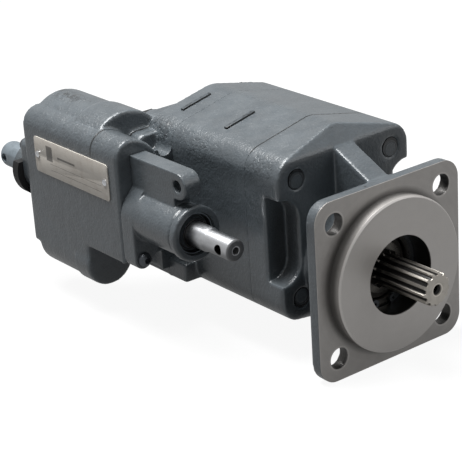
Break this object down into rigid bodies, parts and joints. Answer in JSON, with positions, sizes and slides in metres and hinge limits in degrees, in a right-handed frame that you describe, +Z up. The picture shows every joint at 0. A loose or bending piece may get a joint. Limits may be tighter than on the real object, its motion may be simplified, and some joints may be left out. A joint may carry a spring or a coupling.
{
  "type": "hydraulic gear pump with spool valve",
  "caption": "External gear pump with a splined shaft, a square four-hole flange and a built-in sliding spool valve, load check and relief valve.",
  "frame": {"origin": "centre of the flange's mounting face, on the drive shaft's axis", "axes": "-Y along the drive shaft, out of the pump; +Z up, from the drive gear to the idler gear; -X towards the spool valve"},
  "size_m": [0.164, 0.3553, 0.1461],
  "materials": {
    "paint": "semi-gloss blue-grey paint over a cast surface",
    "gear_steel": "ground and oiled",
    "bearing_steel": "ground",
    "pressed_steel": "bright",
    "black_steel": "black oxide",
    "spring_steel": "satin",
    "rubber": "matt black",
    "bronze": "machined",
    "chrome": "hard chrome, polished",
    "plate_aluminium": "satin"
  },
  "bodies": {
    "housing": {"mounting_cover": "paint", "gear_housing": "paint", "valve_body": "paint", "front_bonnet": "paint", "rear_bonnet": "paint", "tie_bolts": "paint", "tie_bolt_washers": "paint", "dowel_pins": "gear_steel", "bearing_outer_race": "bearing_steel", "bearing_snap_ring": "black_steel", "shaft_seal": "rubber", "front_section_seal": "rubber", "rear_section_seal": "rubber", "front_plate_seal": "rubber", "rear_plate_seal": "rubber", "front_thrust_plate": "bronze", "rear_thrust_plate": "bronze", "front_drive_bushing": "bronze", "rear_drive_bushing": "bronze", "front_idler_bushing": "bronze", "rear_idler_bushing": "bronze", "front_spool_wiper": "rubber", "rear_spool_wiper": "rubber", "spool_guard": "rubber", "front_bonnet_screws": "black_steel", "rear_bonnet_screws": "black_steel", "check_spring": "spring_steel", "check_retainer": "gear_steel", "relief_seat": "gear_steel", "relief_spring": "spring_steel", "relief_adjuster": "gear_steel", "relief_plug": "black_steel", "nameplate": "plate_aluminium", "nameplate_screws": "pressed_steel"},
    "drive_shaft": {"drive_gear_shaft": "gear_steel", "bearing_inner_race": "bearing_steel"},
    "idler": {"idler_gear_shaft": "gear_steel"},
    "ball_train": {"bearing_balls": "bearing_steel", "bearing_cage": "pressed_steel"},
    "spool_assembly": {"spool": "chrome", "spool_tang": "paint"},
    "check_valve": {"check_poppet": "gear_steel"},
    "relief_valve": {"relief_poppet": "gear_steel"}
  },
  "joints": [
    {"name": "drive_shaft_spin", "type": "hinge", "parent": "housing", "child": "drive_shaft", "pos_m": [0, 0, 0], "axis": [0, 1, 0], "continuous": true},
    {"name": "idler_spin", "type": "hinge", "parent": "housing", "child": "idler", "pos_m": [0, 0, 0.044], "axis": [0, 1, 0], "continuous": true},
    {"name": "ball_train_spin", "type": "hinge", "parent": "housing", "child": "ball_train", "pos_m": [0, 0, 0], "axis": [0, 1, 0], "continuous": true},
    {"name": "spool_slide", "type": "slide", "parent": "housing", "child": "spool_assembly", "axis": [0, 1, 0], "range_m": [-0.014, 0.014]},
    {"name": "check_lift", "type": "slide", "parent": "housing", "child": "check_valve", "axis": [0, 1, 0], "range_m": [0, 0.006], "stiffness_N_per_m": 2000, "springref_m": -0.004, "deforming": ["check_spring"]},
    {"name": "relief_lift", "type": "slide", "parent": "housing", "child": "relief_valve", "axis": [0, 1, 0], "range_m": [0, 0.003], "stiffness_N_per_m": 8000, "springref_m": -0.004, "deforming": ["relief_spring"]}
  ],
  "couplings": [
    {"joint": "idler_spin", "follows": "drive_shaft_spin", "ratio": -1},
    {"joint": "ball_train_spin", "follows": "drive_shaft_spin", "ratio": 0.3969}
  ]
}
